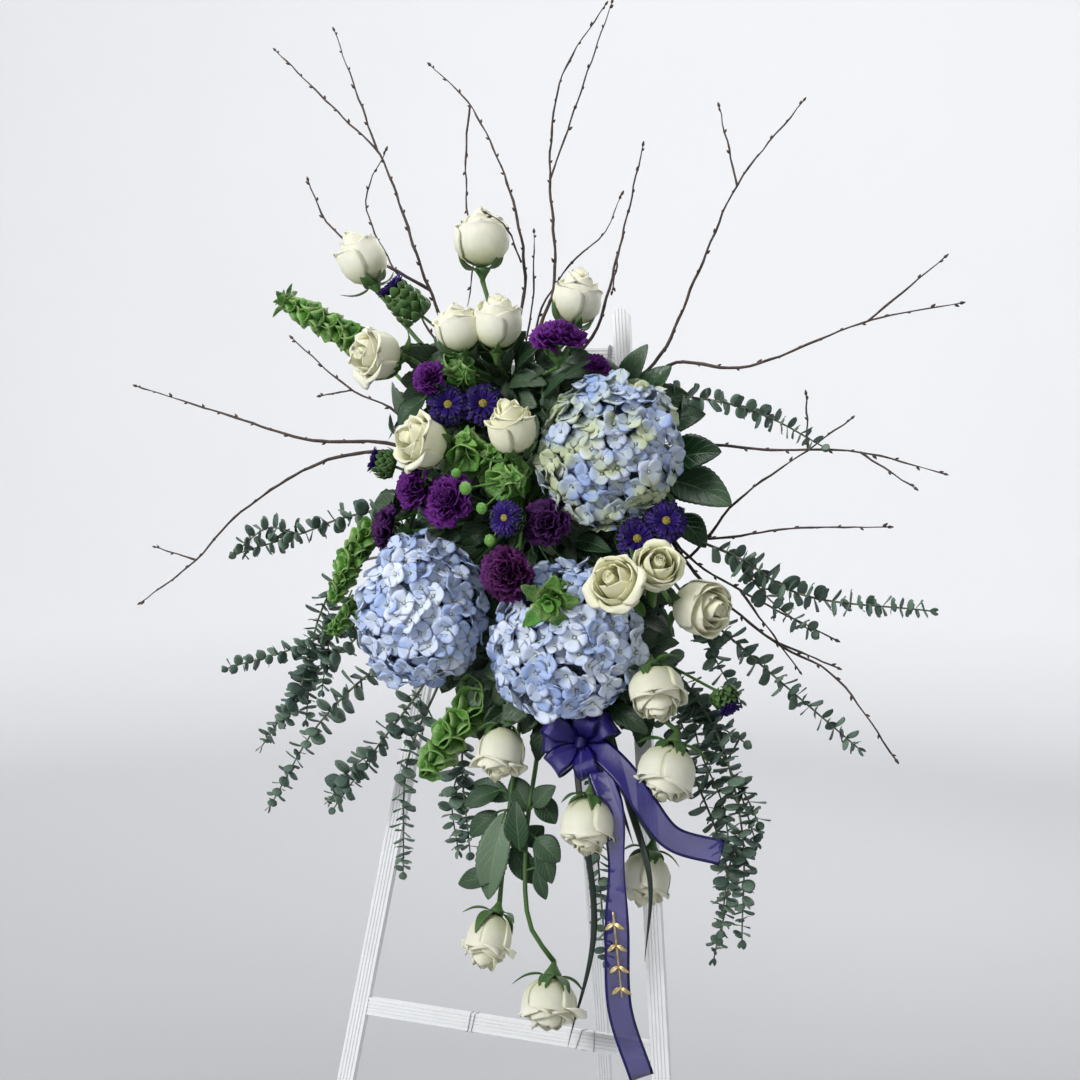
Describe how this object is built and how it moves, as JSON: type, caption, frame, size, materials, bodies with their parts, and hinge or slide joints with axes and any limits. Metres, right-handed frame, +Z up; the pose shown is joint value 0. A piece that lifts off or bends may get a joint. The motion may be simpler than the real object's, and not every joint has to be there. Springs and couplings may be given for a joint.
{
  "type": "standing funeral spray",
  "caption": "Standing funeral spray of white roses, blue hydrangeas, purple carnations and trailing greenery with a violet ribbon, on a white folding easel.",
  "frame": {"origin": "middle of the footprint, on the floor", "axes": "+Z up, +X to the right as seen from the front, front towards -Y"},
  "size_m": [0.9892, 0.6122, 1.8304],
  "materials": {
    "white_paint": "satin",
    "steel": "satin",
    "tray_plastic": "matte",
    "floral_foam": "matte",
    "rose_petal": "matte",
    "carnation_petal": "matte",
    "aster_petal": "matte",
    "hydrangea_petal": "matte",
    "stem_green": "matte",
    "bell_green": "matte",
    "salal_green": "satin",
    "eucalyptus_green": "matte",
    "birch_bark": "matte",
    "grass_green": "satin",
    "ribbon_violet": "satin",
    "gold": "polished"
  },
  "bodies": {
    "stand": {"front_leg_left": "white_paint", "front_leg_right": "white_paint", "top_bar": "white_paint", "cross_bar": "white_paint", "hinge_bracket": "steel", "hinge_pin": "steel", "hanging_wire": "steel", "foam_tray": "tray_plastic", "rose_crown": "rose_petal", "rose_upper_left": "rose_petal", "rose_upper_right": "rose_petal", "rose_shoulder": "rose_petal", "rose_left": "rose_petal", "rose_centre": "rose_petal", "rose_right": "rose_petal", "rose_lower_right": "rose_petal", "rose_drop_left": "rose_petal", "rose_drop_centre": "rose_petal", "rose_drop_right": "rose_petal", "rose_drop_back": "rose_petal", "rose_hanging": "rose_petal", "rose_lowest": "rose_petal", "rose_pair_left": "rose_petal", "rose_front": "rose_petal", "carnation_dark_left": "carnation_petal", "carnation_maroon": "carnation_petal", "carnation_dark_centre": "carnation_petal", "carnation_top": "carnation_petal", "carnation_small_left": "carnation_petal", "carnation_small_right": "carnation_petal", "carnation_bright": "carnation_petal", "aster_upper_left": "aster_petal", "aster_middle": "aster_petal", "aster_left": "aster_petal", "aster_lower_right": "aster_petal", "aster_centre": "aster_petal", "aster_right": "aster_petal", "flower_stems_upper": "stem_green", "flower_stems_middle": "stem_green", "flower_stems_lower": "stem_green", "hydrangea_upper": "hydrangea_petal", "hydrangea_left": "hydrangea_petal", "hydrangea_lower": "hydrangea_petal", "birch_upper": "birch_bark", "birch_right": "birch_bark", "birch_left": "birch_bark", "bells_upper": "bell_green", "bells_centre": "bell_green", "bells_left": "bell_green", "bells_lower": "bell_green", "salal_leaves": "salal_green", "eucalyptus_left": "eucalyptus_green", "eucalyptus_lower_left": "eucalyptus_green", "eucalyptus_right": "eucalyptus_green", "eucalyptus_lower_right": "eucalyptus_green", "lily_grass": "grass_green", "ribbon": "ribbon_violet", "gold_sprig": "gold", "foam_block": "floral_foam"},
    "rear_leg": {"rear_leg": "white_paint"}
  },
  "joints": [
    {"name": "rear_leg_hinge", "type": "hinge", "parent": "stand", "child": "rear_leg", "pos_m": [0.02303, 0.02044, 1.41806], "axis": [-1, 0, 0], "range_deg": [0, 22]}
  ]
}
